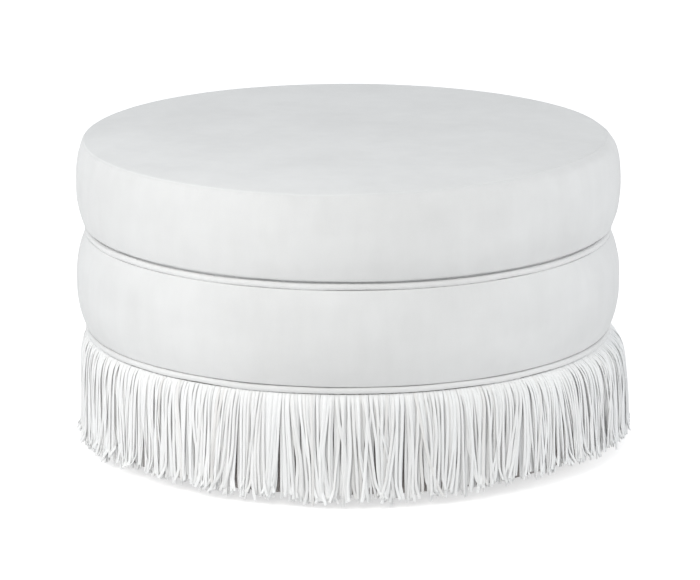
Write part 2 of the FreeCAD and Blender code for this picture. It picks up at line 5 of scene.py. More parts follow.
import bpy
import numpy as np
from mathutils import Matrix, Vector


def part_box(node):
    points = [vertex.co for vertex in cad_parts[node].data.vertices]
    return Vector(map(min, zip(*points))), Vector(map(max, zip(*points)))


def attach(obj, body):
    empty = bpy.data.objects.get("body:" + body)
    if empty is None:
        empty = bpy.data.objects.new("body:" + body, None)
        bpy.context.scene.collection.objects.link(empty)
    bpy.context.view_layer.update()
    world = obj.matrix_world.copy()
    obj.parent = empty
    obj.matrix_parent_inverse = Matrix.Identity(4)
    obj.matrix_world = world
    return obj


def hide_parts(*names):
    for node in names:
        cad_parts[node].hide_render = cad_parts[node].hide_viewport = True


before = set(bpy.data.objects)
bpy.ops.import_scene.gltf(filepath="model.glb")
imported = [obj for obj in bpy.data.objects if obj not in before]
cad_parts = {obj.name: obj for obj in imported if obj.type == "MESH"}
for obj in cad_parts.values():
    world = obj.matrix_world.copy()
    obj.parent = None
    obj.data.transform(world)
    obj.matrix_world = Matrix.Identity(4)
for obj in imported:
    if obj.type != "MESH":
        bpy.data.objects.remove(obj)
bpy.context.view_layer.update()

MM = 0.001
TAU = 2 * math.pi

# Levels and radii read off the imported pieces
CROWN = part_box("top_panel")[1][2]
BODY_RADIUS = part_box("upper_boxing")[1][0]
HEM_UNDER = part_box("upper_boxing")[0][2]
DECK_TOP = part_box("deck_board")[1][2]
SHELL_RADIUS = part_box("drum_shell")[1][0]
BAND_UNDER, BAND_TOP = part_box("lower_boxing")[0][2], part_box("lower_boxing")[1][2]
TACK_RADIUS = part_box("upper_tack_strip")[1][0]
TACK_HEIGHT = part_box("upper_tack_strip")[1][2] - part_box("upper_tack_strip")[0][2]
LINING_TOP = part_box("plinth_cover")[1][2]
LINING_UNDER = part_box("plinth_cover")[0][2]
LINING_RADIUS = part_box("plinth_cover")[1][0]
BASE_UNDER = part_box("base_board")[0][2]
TAPE_UNDER, TAPE_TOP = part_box("fringe_tape")[0][2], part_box("fringe_tape")[1][2]
TAPE_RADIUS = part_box("fringe_tape")[1][0]
DUST_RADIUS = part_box("dust_cover")[1][0]
DUST_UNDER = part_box("dust_cover")[0][2]

# Cloth and the gaps it leaves
FABRIC = 1.2 * MM
CLOTH_GAP = 0.15 * MM
DECK_GAP = 0.2 * MM
LINING_GAP = 0.1 * MM

# Welts
WELT_RADIUS = 4.0 * MM
UPPER_WELT = BAND_TOP + WELT_RADIUS
LOWER_WELT = BAND_UNDER - WELT_RADIUS
WELT_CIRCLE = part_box("upper_welt")[1][0] - WELT_RADIUS
WELT_HEM = 12.0 * MM
WELT_HEM_WIDTH = 2.3 * MM
WELT_WRAP = 295.0
WELT_AROUND = 960
WELT_RIPPLE = 0.14 * MM
WELT_SWELL = 0.12 * MM
WELT_LIFT = 0.35 * MM

# Shape of the velvet tiers. DROP is how far an edge is drawn in from the widest radius
HALF = 48
AROUND = 8 * HALF
SEAM = CROWN - 5.2 * MM
WIDEST = 341.0 * MM
SIDE_RINGS = 40
SIDE_POWER = 2.4
PINCH_DROP = 12.0 * MM
SHOULDER_DROP = 9.5 * MM
EDGE_ROUND = 3.6 * MM
EDGE_RISE = 1.6 * MM
EDGE_BENDS = (28, 56, 82)
TOP_INSET = 4.0 * MM
CROWN_SHARE = 0.45

# The boxing rolled over the shoulder at the front right: the turn it centres on, and how far it spreads
ROLL_SEAM = 327.0 * MM
ROLL_SINK = 1.5 * MM
ROLL_TURN = -0.62
ROLL_SPREAD = 0.92
ROLL_FULL = 1.15

# Second tier, drawn in behind its tack strips
BAND_POWER = 2.6
BAND_PINCH = PINCH_DROP + 0.8 * MM
BAND_TUCK = 2.6 * MM
TACK_GAP = 0.3 * MM
BAND_SLOPE = 12.5 * MM

# Swelling of the tiers in the simulation
FRAMES = 20
PRESSURE = 4.0
SEAT_SWELL = 2.0 * MM
BAND_SWELL = 5.0 * MM
SWELL_ROOM = 1.5 * MM
SEAM_HOLD = 0.85

# Small unevenness of the tiers
SLOW_UNEVEN = 0.35 * MM
QUICK_UNEVEN = 0.16 * MM
EVEN_RADIUS = 300.0 * MM
EVEN_FADE = 30.0 * MM
GATHERS = 0.42 * MM
GATHER_REACH = 9.0 * MM
SEAM_SINK = 1.1 * MM
SEAM_WIDTH = 1.4 * MM
TUCK_HEIGHT = 5.5 * MM
TUCK_DEPTH = 3.6 * MM
TUCK_LIFT = 2.4 * MM
TUCK_CLEAR = 2.5 * MM
TUCK_FADE = 2.0 * MM

# Fringe: its two layers of strips, from the tape to their ends
INNER_STRIPS = 700
OUTER_STRIPS = 720
LEVELS = 20
STRIP_TOP = 1.5 * MM
STRIP_WIDTH = 3.8 * MM
STRIP_WALL = 1.5 * MM
HANG_RADIUS = 345.0 * MM
GIRTH = TAU * HANG_RADIUS
FLOOR_CLEAR = 0.6 * MM

# How far strips stray sideways, and how they gather in groups. Inner strips stray less
INNER_LOOSE = 0.35
SHARED_DRIFT, OWN_DRIFT = 7.5 * MM, 6.5 * MM
SHARED_SWAY, OWN_SWAY = 1.5 * MM, 4.2 * MM
SWAY_PACE = (0.5, 1.4)
GROUPS = 150
GROUP_PULL = 0.24
GROUP_REACH = 12.0 * MM
TWIST, SWAY_TWIST = 0.30, 0.22

# How far out strips hang. FLARE is at the right side, where they stand away most
FLARE = 19.0 * MM
INNER_ROOM = 5.2 * MM
OUTER_START, OUTER_ROOM = 3.9 * MM, 9.6 * MM
INNER_DEPTH, OUTER_DEPTH = (0.3, 0.5), (0.66, 1.0)

# Ends of the strips above the floor, and the flick of some of them
END_HEIGHT = 8.0 * MM
END_WAVE = 8.0 * MM
END_FLARE = 0.45
SHARED_ENDS, OWN_ENDS = 1.4 * MM, 3.0 * MM
END_RANGE = (3.0 * MM, 34.0 * MM)
FLICK_SHARE = 0.3
FLICK_START = 0.82
FLICK_REACH = (3.0 * MM, 9.0 * MM)

# Rounds in which overlapping strips push each other apart, and their return to where they were
PUSH_ROUNDS = 60
PUSH_NEIGHBOURS = 6
PUSH_STEP = 1.2 * MM
PUSH_FORCE = 0.28
PUSH_ASIDE, PUSH_AHEAD = 0.55, 2.0
SMOOTH_ASIDE, SMOOTH_AHEAD = 0.22, 0.18
PUSH_RETURN = 0.03

# Lining and dust cover
TURN_IN = SHELL_RADIUS - 30.0 * MM
LINING_AROUND = 600
PLEAT = 0.5 * MM
HEADING_AROUND = 480
DUST_HALF = 40
DUST_SLOPE = 8.0 * MM
DUST_WALL = 0.7 * MM

# Grain of the velvet, the painted light on the top (lighter towards the front left, darker towards the back
# right) and the painted shade along the band's lower edge
PATCH_SCALE = 7.0
STROKE_SCALE = 38.0
PILE_SCALE = 1500.0
SEAM_GATHER_SCALE = 260.0
PAINTED_LIGHT_WAY = (-0.9, -1.0)
PAINTED_LIGHT_FROM, PAINTED_LIGHT_TO = -0.2, 0.36
# Painted shade: how far and how dark the colour is darkened beside a turned edge
PAINTED_SHADE_REACH = 1.6 * MM
PAINTED_SHADE_DEPTH = 0.30

# Camera
CAMERA_PLACE = (2.5 * MM, -6.0, 1.688)
CAMERA_DOWN = 14.0
CAMERA_LENS = 245.9

# Lamps by name, azimuth, elevation, distance, size, power and colour
AIM_HEIGHT = 0.25
LAMPS = (
    ("left", -72.0, 24.0, 3.2, 1.6, 29.5, (1.0, 1.0, 0.995)),
    ("front", -14.0, 34.0, 2.6, 1.2, 17.6, (1.0, 0.978, 0.93)),
    ("right", 84.0, 18.0, 3.6, 1.8, 38.0, (1.0, 1.0, 1.0)),
)

# World and floor
WORLD_STRENGTH = 0.545
WORLD_COLOUR = (0.935, 0.972, 1.0, 1.0)
PURE_WHITE = (1.0, 1.0, 1.0, 1.0)
FLOOR_GLOW = 0.64
FLOOR_REACH = 30.0


# Materials
class Nodes:
    """A material's node tree with short calls to add and join nodes."""

    def __init__(self, name):
        self.material = bpy.data.materials.new(name)
        self.material.use_nodes = True
        self.tree = self.material.node_tree
        self.shader = self.tree.nodes["Principled BSDF"]
        self.place = self.add("ShaderNodeTexCoord").outputs["Object"]

    def add(self, kind, **inputs):
        node = self.tree.nodes.new(kind)
        for name, value in inputs.items():
            self.put(node.inputs[name.replace("_", " ")], value)
        return node

    def put(self, socket, value):
        if isinstance(value, bpy.types.NodeSocket):
            self.tree.links.new(value, socket)
        else:
            socket.default_value = value

    def set(self, **inputs):
        for name, value in inputs.items():
            self.put(self.shader.inputs[name.replace("_", " ")], value)

    def plain(self, specular, sheen=0.0, sheen_roughness=0.5):
        """Gloss and sheen that are the same all over."""
        self.shader.inputs["Specular IOR Level"].default_value = specular
        self.shader.inputs["Sheen Weight"].default_value = sheen
        self.shader.inputs["Sheen Roughness"].default_value = sheen_roughness
        self.shader.inputs["Sheen Tint"].default_value = PURE_WHITE

    def stretched(self, across, along, up):
        mapping = self.add("ShaderNodeMapping", Vector=self.place)
        mapping.inputs["Scale"].default_value = (across, along, up)
        return mapping.outputs["Vector"]

    def noise(self, scale, detail=2.0, rough=0.5, vector=None):
        node = self.add("ShaderNodeTexNoise", Scale=scale, Detail=detail, Roughness=rough)
        self.put(node.inputs["Vector"], vector or self.place)
        return node.outputs["Fac"]

    def ramp(self, factor, *stops):
        node = self.add("ShaderNodeValToRGB", Fac=factor)
        elements = node.color_ramp.elements
        while len(elements) < len(stops):
            elements.new(0.5)
        for element, (position, colour) in zip(elements, stops):
            element.position = position
            element.color = (*colour, 1.0)
        return node.outputs["Color"]

    def mix(self, factor, first, second, blend="MIX"):
        node = self.add("ShaderNodeMix")
        node.data_type = "RGBA"
        node.blend_type = blend
        for socket, value in ((node.inputs[0], factor), (node.inputs[6], first), (node.inputs[7], second)):
            self.put(socket, value)
        return node.outputs[2]

    def maths(self, operation, first, second):
        node = self.add("ShaderNodeMath")
        node.operation = operation
        self.put(node.inputs[0], first)
        self.put(node.inputs[1], second)
        return node.outputs[0]

    def blend(self, first, second, share):
        """A share of the second value and the rest of the first."""
        kept = self.maths("MULTIPLY", first, 1.0 - share)
        return self.maths("ADD", kept, self.maths("MULTIPLY", second, share))

    def bump(self, height, strength, distance, below=None):
        node = self.add("ShaderNodeBump", Strength=strength, Distance=distance, Height=height)
        if below is not None:
            self.put(node.inputs["Normal"], below)
        return node.outputs["Normal"]

    def near_level(self, levels, reach):
        """1 at any of the given heights, falling to 0 within reach of it."""
        height = self.add("ShaderNodeSeparateXYZ", Vector=self.place).outputs["Z"]
        total = 0.0
        for level in levels:
            away = self.maths("ABSOLUTE", self.maths("SUBTRACT", height, level), 0.0)
            fade = self.add("ShaderNodeMapRange", Value=away, From_Max=reach, To_Min=1.0, To_Max=0.0)
            fade.interpolation_type = "SMOOTHSTEP"
            total = self.maths("ADD", total, fade.outputs["Result"])
        return total


def grey(value, warm=0.0):
    """Near-neutral colour, warmer for a positive second value."""
    return (value * (1 + warm), value, value * (1 - warm))


WHITE = grey(1.0)


def velvet(name, light, warm, streak, seams=(), crease=(), painted_front_light=False):
    """Short-pile velvet: random patches where the pile lies differently, fine pile, sheen, gathers beside
    the seams, optional painted light that makes it lighter towards the front left, and painted shade along a
    turned edge.
    """
    m = Nodes(name)
    patches = m.noise(PATCH_SCALE, 3.0, 0.55, m.stretched(1.0, 1.0, 1.8))
    strokes = m.noise(STROKE_SCALE, 3.0, 0.6, m.stretched(*streak))
    tone = m.blend(patches, strokes, 0.35)
    shade = m.ramp(tone, (0.36, grey(light * 0.955, warm)), (0.62, grey(light * 1.02, warm * 0.5)))
    pile = m.noise(PILE_SCALE, 2.0, 0.7)
    flecks = m.ramp(pile, (0.3, grey(0.955)), (0.7, WHITE))
    colour = m.mix(1.0, shade, flecks, "MULTIPLY")
    if painted_front_light:
        # Painted light: the colour is made lighter towards the front left and darker towards the back right
        place = m.add("ShaderNodeSeparateXYZ", Vector=m.place).outputs
        pushed = [m.maths("MULTIPLY", place[axis], way) for axis, way in zip("XY", PAINTED_LIGHT_WAY)]
        forward = m.maths("ADD", *pushed)
        painted_light_spread = m.add("ShaderNodeMapRange", Value=forward, From_Min=PAINTED_LIGHT_FROM, From_Max=PAINTED_LIGHT_TO)
        painted_light_tone = m.ramp(painted_light_spread.outputs["Result"], (0.0, grey(0.965)), (0.7, grey(0.995)), (1.0, grey(1.045)))
        colour = m.mix(1.0, colour, painted_light_tone, "MULTIPLY")
    if crease:
        # Painted shade: the colour is darkened at the given levels, where the cloth turns under
        colour = m.mix(m.near_level(crease, PAINTED_SHADE_REACH), colour, (*grey(light * PAINTED_SHADE_DEPTH, 0.03), 1.0))
    m.set(Base_Color=colour, Roughness=0.92)
    m.plain(specular=0.18, sheen=0.3, sheen_roughness=0.45)
    normal = m.bump(strokes, 0.12, 1.2 * MM)
    if seams:
        gathers = m.noise(SEAM_GATHER_SCALE, 1.0, 0.5, m.stretched(1.0, 1.0, 0.35))
        beside = m.near_level(seams, GATHER_REACH)
        normal = m.bump(m.maths("MULTIPLY", gathers, beside), 0.5, 1.0 * MM, normal)
    m.set(Normal=m.bump(pile, 0.35, 0.3 * MM, normal))
    return m.material


def soft_strip():
    """Suede-like strips of the fringe, each a little lighter or darker than the next."""
    m = Nodes("fringe_strip")
    island = m.add("ShaderNodeNewGeometry").outputs["Random Per Island"]
    tone = m.ramp(
        island,
        (0.0, grey(0.85, 0.016)), (0.08, grey(0.92, 0.004)), (0.6, grey(0.94)), (1.0, grey(0.96, -0.003)),
    )
    fibres = m.noise(300.0, 3.0, 0.6, m.stretched(1.0, 1.0, 0.12))
    flecks = m.ramp(fibres, (0.3, grey(0.95)), (0.7, WHITE))
    m.set(Base_Color=m.mix(1.0, tone, flecks, "MULTIPLY"), Roughness=0.9)
    m.plain(specular=0.2, sheen=0.35)
    m.set(Normal=m.bump(fibres, 0.3, 0.3 * MM))
    return m.material


def woven(name, colour, thread):
    """Plain cloth: cells a thread wide with long slubs."""
    m = Nodes(name)
    cells = m.noise(1.0 / thread, 1.0, 0.4)
    slubs = m.noise(60.0, 2.0, 0.5, m.stretched(1.0, 1.0, 6.0))
    dark = tuple(value * 0.72 for value in colour)
    light = tuple(value * 1.18 for value in colour)
    m.set(Base_Color=m.ramp(m.blend(cells, slubs, 0.4), (0.35, dark), (0.65, light)), Roughness=0.95)
    m.plain(specular=0.15)
    m.set(Normal=m.bump(cells, 0.5, 0.4 * MM))
    return m.material


def wood(name, dark, light, rings, grain_axis):
    """Sawn wood: long grain with rings and pores."""
    m = Nodes(name)
    along = [14.0, 14.0, 14.0]
    along[grain_axis] = 1.0
    warped = m.noise(2.2, 4.0, 0.6, m.stretched(*along))
    lines = m.add("ShaderNodeTexWave", Scale=rings, Distortion=6.0, Detail=3.0, Vector=m.stretched(*along))
    pores = m.noise(90.0, 2.0, 0.5, m.stretched(*[value / 2 for value in along]))
    tone = m.blend(warped, lines.outputs["Fac"], 0.4)
    m.set(Base_Color=m.ramp(tone, (0.25, dark), (0.75, light)), Roughness=0.72)
    m.set(Normal=m.bump(pores, 0.25, 0.4 * MM))
    return m.material


def pressed_board(name, dark, light):
    """Hardboard or cardboard: matted fibres."""
    m = Nodes(name)
    fibres = m.noise(420.0, 4.0, 0.7)
    tone = m.blend(fibres, m.noise(12.0), 0.3)
    m.set(Base_Color=m.ramp(tone, (0.35, dark), (0.65, light)), Roughness=0.8)
    m.set(Normal=m.bump(fibres, 0.2, 0.2 * MM))
    return m.material


def zinc():
    """Plated steel of the screws and staples, lightly scuffed."""
    m = Nodes("zinc_steel")
    scuffs = m.noise(800.0, 3.0, 0.6, m.stretched(1.0, 1.0, 0.2))
    m.set(Base_Color=m.ramp(scuffs, (0.3, (0.52, 0.52, 0.50)), (0.7, (0.68, 0.67, 0.64))), Metallic=1.0)
    m.set(Roughness=m.add("ShaderNodeMapRange", Value=scuffs, To_Min=0.28, To_Max=0.5).outputs["Result"])
    return m.material


def foot_plastic():
    """Black moulded plastic with a fine grain."""
    m = Nodes("foot_plastic")
    grain = m.noise(700.0, 2.0, 0.6)
    scuffs = m.noise(40.0, 4.0, 0.7)
    m.set(Base_Color=m.ramp(scuffs, (0.35, grey(0.012)), (0.7, grey(0.035))))
    m.set(Roughness=m.add("ShaderNodeMapRange", Value=scuffs, To_Min=0.42, To_Max=0.62).outputs["Result"])
    m.set(Normal=m.bump(grain, 0.25, 0.2 * MM))
    return m.material


FINISHES = (
    (wood("birch_ply", (0.50, 0.34, 0.20), (0.74, 0.57, 0.38), 1.3, 0),
     ("deck_board", "deck_ring", "waist_ring", "base_board")),
    (wood("pine", (0.58, 0.40, 0.22), (0.80, 0.62, 0.40), 2.2, 2), ("posts",)),
    (pressed_board("hardboard", (0.20, 0.125, 0.075), (0.34, 0.22, 0.14)), ("drum_shell",)),
    (pressed_board("cardboard", (0.36, 0.27, 0.18), (0.52, 0.41, 0.29)),
     ("upper_tack_strip", "lower_tack_strip")),
    (foot_plastic(), ("feet",)),
    (zinc(), (
        "deck_screws", "base_screws", "ring_screws", "foot_screws", "dust_cover_staples",
        "tape_staples", "upper_tack_staples", "lower_tack_staples",
    )),
)


def finish_cad():
    """Gives the rigid pieces that stay their finishes."""
    for material, names in FINISHES:
        for name in names:
            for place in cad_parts[name].material_slots:
                place.material = material


# Pieces
def piece(name, points, faces, material, replaced=(), sharp=None):
    """A shaded object that rides on the one body and stands for the CAD nodes named."""
    mesh = bpy.data.meshes.new(name)
    mesh.from_pydata([tuple(point) for point in points], [], [tuple(map(int, face)) for face in faces])
    mesh.materials.append(material)
    mesh.shade_smooth()
    if sharp:
        mesh.set_sharp_from_angle(angle=math.radians(sharp))
    made = bpy.data.objects.new(name, mesh)
    bpy.context.scene.collection.objects.link(made)
    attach(made, "root")
    if replaced:
        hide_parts(*replaced)
    return made


def apply_modifiers(made):
    """Keeps the shape that the modifiers give as the piece's own mesh."""
    shown = made.evaluated_get(bpy.context.evaluated_depsgraph_get())
    mesh = bpy.data.meshes.new_from_object(shown)
    made.modifiers.clear()
    made.data = mesh
    mesh.shade_smooth()


def coordinates(mesh):
    points = np.empty(len(mesh.vertices) * 3)
    mesh.vertices.foreach_get("co", points)
    return points.reshape(-1, 3)


def move_to(mesh, points):
    mesh.vertices.foreach_set("co", points.ravel())
    mesh.update()


def turned(around, profile):
    """Points of a profile of (radius, level) turned about the axis, ring by ring."""
    turns = np.linspace(0.0, TAU, around, endpoint=False)
    profile = np.asarray(profile, float)
    across = profile[:, :1]
    up = np.repeat(profile[:, 1:], around, axis=1)
    return np.stack([across * np.cos(turns), across * np.sin(turns), up], axis=2).reshape(-1, 3)


def ring_faces(around, rings, closed=False):
    """Quads between one ring of points and the next, outward when the rings run upwards on the outside."""
    faces = []
    for low in range(rings if closed else rings - 1):
        high = (low + 1) % rings
        for here in range(around):
            after = (here + 1) % around
            faces.append((
                low * around + here, low * around + after, high * around + after, high * around + here,
            ))
    return faces


def spaced(points, step):
    """Points along a line of (radius, level) pairs, about a step apart, with every corner kept."""
    out = [points[0]]
    for start, end in zip(points[:-1], points[1:]):
        count = max(1, round(math.dist(start, end) / step))
        for number in range(1, count + 1):
            share = number / count
            out.append((start[0] + (end[0] - start[0]) * share, start[1] + (end[1] - start[1]) * share))
    return out


def swings(turns, counts, seed):
    """Smooth unevenness round the rim, about -1 to 1, with the given numbers of swings."""
    draw = np.random.default_rng(seed)
    total = sum(np.sin(count * turns + draw.uniform(0, TAU)) for count in counts)
    return total / math.sqrt(len(counts))


def disc_grid(half, radius, level, rim_first, inner_first, flip=False):
    """Square grid pressed into a disc, with no pole in the middle.

    Its rim is the ring of 8 * half points that starts at rim_first. Its own points start at inner_first.
    """
    points = []
    index = {}
    for i in range(-half, half + 1):
        for j in range(-half, half + 1):
            step = max(abs(i), abs(j))
            if abs(i) >= abs(j):
                turn = math.pi / 4 * (j / i if i else 0.0) + (math.pi if i < 0 else 0.0)
            else:
                turn = math.pi / 2 - math.pi / 4 * (i / j) + (math.pi if j < 0 else 0.0)
            if step == half:
                index[i, j] = rim_first + round(turn % TAU / TAU * 8 * half) % (8 * half)
            else:
                across = radius * step / half
                index[i, j] = inner_first + len(points)
                points.append((across * math.cos(turn), across * math.sin(turn), level(across)))
    faces = []
    for i in range(-half, half):
        for j in range(-half, half):
            face = (index[i, j], index[i + 1, j], index[i + 1, j + 1], index[i, j + 1])
            faces.append(face[::-1] if flip else face)
    return points, faces


# The velvet tiers
def side_line(low, high, widest, drawn_in, power, count):
    """Bulging side between two drawn-in edges as (radius, level) pairs, squarer for a higher power."""
    levels = np.linspace(low, high, count)
    below = np.clip((widest - levels) / (widest - low), 0, 1) ** power
    above = np.clip((levels - widest) / (high - widest), 0, 1) ** power
    radii = BODY_RADIUS - drawn_in[0] * below - drawn_in[1] * above
    return list(zip(radii, levels))


def inflate(made, held, cap):
    """Blows the cover up with Cloth while the held points stay, and keeps at most cap of the movement.
    """
    scene = bpy.context.scene
    start = coordinates(made.data)
    group = made.vertex_groups.new(name="held")
    for weight in sorted(set(held.values())):
        group.add([index for index, value in held.items() if value == weight], weight, "REPLACE")
    cloth = made.modifiers.new("inflate", "CLOTH")
    settings = cloth.settings
    settings.quality = 4
    settings.mass = 0.3
    settings.tension_stiffness = 20
    settings.compression_stiffness = 15
    settings.shear_stiffness = 8
    settings.bending_stiffness = 0.5
    settings.use_pressure = True
    settings.uniform_pressure_force = PRESSURE
    settings.vertex_group_mass = "held"
    settings.effector_weights.gravity = 0.0
    cloth.collision_settings.use_collision = False
    cloth.collision_settings.use_self_collision = False
    scene.frame_start, scene.frame_end = 1, FRAMES
    for number in range(1, FRAMES + 1):
        scene.frame_set(number)
    apply_modifiers(made)
    moved = coordinates(made.data) - start
    length = np.linalg.norm(moved, axis=1, keepdims=True)
    capped = moved * np.minimum(1.0, cap * np.tanh(length / cap) / np.maximum(length, 1e-9))
    move_to(made.data, start + capped)
    made.vertex_groups.clear()
    scene.frame_set(1)


def smooth_once(made):
    """One subdivision, kept as the piece's own mesh."""
    made.modifiers.new("smooth", "SUBSURF").levels = 1
    apply_modifiers(made)


def settle(points, seed):
    """Unevenness of hand upholstery: the sides go in and out by a fraction of a millimetre."""
    turns = np.arctan2(points[:, 1], points[:, 0])
    across = np.hypot(points[:, 0], points[:, 1])
    out = swings(turns, (3, 5, 8, 13), seed) * SLOW_UNEVEN
    out += swings(turns + points[:, 2] * 3.0, (21, 34, 47), seed + 1) * QUICK_UNEVEN
    share = np.clip((across - EVEN_RADIUS) / EVEN_FADE, 0, 1)
    grow = 1 + out * share / np.maximum(across, 1e-6)
    points[:, 0] *= grow
    points[:, 1] *= grow
    return points


def seam_groove(points, around, seam_line, seed):
    """Draws the cover in along the top seam and gathers the boxing below the stitches."""
    turns = np.arctan2(points[:, 1], points[:, 0])
    across = np.hypot(points[:, 0], points[:, 1])
    seam_across = np.interp(turns, around, seam_line[:, 0], period=TAU)
    seam_level = np.interp(turns, around, seam_line[:, 1], period=TAU)
    away = np.hypot(across - seam_across, points[:, 2] - seam_level)
    boxing = np.clip(0.5 + (across - seam_across) / (2 * MM), 0, 1) * (points[:, 2] > WIDEST)
    gathers = swings(turns, (61, 83, 107, 131), seed) * GATHERS
    gathers *= 0.6 + 0.4 * swings(turns, (3, 7), seed + 1)
    gathers *= boxing * np.exp(-((away / GATHER_REACH) ** 2))
    out = gathers - SEAM_SINK * np.exp(-((away / SEAM_WIDTH) ** 2))
    grow = 1 + 0.7 * out / np.maximum(across, 1e-6)
    points[:, 0] *= grow
    points[:, 1] *= grow
    points[:, 2] += 0.5 * np.minimum(out, 0.0)
    return points


def tuck_under(points, level):
    """Rolls a tier's lower edge in above its welt, which leaves a dark crease over the welt."""
    across = np.hypot(points[:, 0], points[:, 1])
    height = points[:, 2] - level
    outside = np.clip((across - SHELL_RADIUS - TUCK_CLEAR) / TUCK_FADE, 0, 1)
    close = np.clip(1 - height / TUCK_HEIGHT, 0, 1) * (height > -0.5 * MM) * outside
    turns = np.arctan2(points[:, 1], points[:, 0])
    depth = TUCK_DEPTH * (0.85 + 0.2 * swings(turns, (2, 5, 9), 71) + 0.12 * swings(turns, (31, 47), 73))
    grow = 1 - depth * close ** 1.6 / np.maximum(across, 1e-6)
    points[:, 0] *= grow
    points[:, 1] *= grow
    points[:, 2] += TUCK_LIFT * close
    return points


def rolled(turns):
    """How far the boxing is rolled over the shoulder on to the top at each turn: 1 at the front right."""
    away = np.abs((turns - ROLL_TURN + math.pi) % TAU - math.pi)
    return np.clip(ROLL_FULL - away / ROLL_SPREAD, 0, 1) ** 0.8


def seat_profile(roll):
    """Points up the seat's side to just past its seam, the shoulder square (0) or rolled over (1)."""
    under = UPPER_WELT + WELT_RADIUS
    levels = np.linspace(under, SEAM, SIDE_RINGS)
    rise = np.clip((levels - WIDEST) / (SEAM - WIDEST), 0, 1)
    low = np.clip((WIDEST - levels) / (WIDEST - under), 0, 1) ** SIDE_POWER
    slope = rise * math.pi / 2
    square = np.stack([BODY_RADIUS - PINCH_DROP * low - SHOULDER_DROP * rise ** SIDE_POWER, levels], axis=1)
    over = np.stack([
        ROLL_SEAM + (BODY_RADIUS - ROLL_SEAM) * np.cos(slope) ** (2 / 3) - PINCH_DROP * low,
        np.where(rise > 0, WIDEST + (CROWN - ROLL_SINK - WIDEST) * np.sin(slope) ** (2 / 3), levels),
    ], axis=1)
    side = square * (1 - roll) + over * roll
    last = side[-1]
    bend = np.radians(EDGE_BENDS)
    edge = np.stack([
        last[0] - EDGE_ROUND * (1 - np.cos(bend)) * (1 + roll),
        last[1] + EDGE_RISE * (1 - 0.75 * roll) * np.sin(bend),
    ], axis=1)
    return np.concatenate([side, edge])


def seat_rings(around):
    """Radius and level of the seat's rings at each turn, hem to top edge, and the number in the hem."""
    under = UPPER_WELT + WELT_RADIUS
    square, over = seat_profile(0.0), seat_profile(1.0)
    hem = spaced([
        (SHELL_RADIUS + CLOTH_GAP, DECK_TOP + DECK_GAP), (SHELL_RADIUS + CLOTH_GAP, HEM_UNDER),
        (SHELL_RADIUS + FABRIC, HEM_UNDER), (SHELL_RADIUS + FABRIC, under + 0.3 * MM),
        (square[0][0] - 1.5 * MM, under),
    ], 4 * MM)
    roll = rolled(around)[None, :, None]
    side = square[:, None] * (1 - roll) + over[:, None] * roll
    return np.concatenate([np.repeat(np.array(hem)[:, None], len(around), axis=1), side]), len(hem)


def crowned(across, turns, around, rim):
    """Radius and level of points of the top: across is 0 in the middle and 1 just inside the rim."""
    reach = rim[:, 0] - TOP_INSET
    peak = CROWN - SWELL_ROOM
    full = np.interp(turns, around, rim[:, 0], period=TAU)
    drop = peak - np.interp(turns, around, rim[:, 1], period=TAU)
    near = np.interp(turns, around, reach, period=TAU)
    radius = across * (reach.max() * (1 - across ** 3) + near * across ** 3)
    share = radius / full
    return radius, peak - drop * (CROWN_SHARE * share ** 3 + (1 - CROWN_SHARE) * share ** 11)


def in_space(radius, level, turns):
    """Points in space from a radius, a level and a turn each."""
    return np.stack([radius * np.cos(turns), radius * np.sin(turns), level], axis=-1).reshape(-1, 3)


def seat():
    """Top tier: closed crowned cushion, drawn in at the waist, flat on the deck, its hem round the drum."""
    around = np.linspace(0.0, TAU, AROUND, endpoint=False)
    profiles, hem_rings = seat_rings(around)
    rim = profiles[-1]
    last_ring = np.stack(crowned(np.ones(AROUND), around, around, rim), axis=1)
    profiles = np.concatenate([profiles, last_ring[None]])
    points = in_space(profiles[..., 0], profiles[..., 1], around)
    faces = ring_faces(AROUND, len(profiles))
    top, top_faces = disc_grid(HALF, 1.0, lambda across: 0.0, len(points) - AROUND, len(points))
    top = np.array(top)
    turns = np.arctan2(top[:, 1], top[:, 0])
    top = in_space(*crowned(np.hypot(top[:, 0], top[:, 1]), turns, around, rim), turns)
    bottom, bottom_faces = disc_grid(
        HALF, SHELL_RADIUS, lambda across: DECK_TOP + DECK_GAP, 0, len(points) + len(top), flip=True,
    )
    points = np.concatenate([points, top, np.array(bottom)])
    made = piece(
        "seat_cushion", points, faces + top_faces + bottom_faces, SIDE_VELVET,
        ("seat_foam", "seat_wadding", "top_panel", "upper_boxing"),
    )
    seam_ring = hem_rings + SIDE_RINGS - 1
    made.data.materials.append(TOP_VELVET)
    top_cloth = [index >= seam_ring * AROUND for index in range(len(faces))] + [True] * len(top_faces)
    top_cloth += [False] * len(bottom_faces)
    made.data.polygons.foreach_set("material_index", np.array(top_cloth, dtype=np.int32))
    held = {}
    for index in range(len(points)):
        ring = index // AROUND
        if ring <= hem_rings or index >= len(points) - len(bottom):
            held[index] = 1.0
        elif ring == seam_ring:
            held[index] = SEAM_HOLD
    inflate(made, held, SEAT_SWELL)
    smooth_once(made)
    final = seam_groove(settle(coordinates(made.data), 11), around, profiles[seam_ring], 21)
    move_to(made.data, tuck_under(final, UPPER_WELT + WELT_RADIUS))


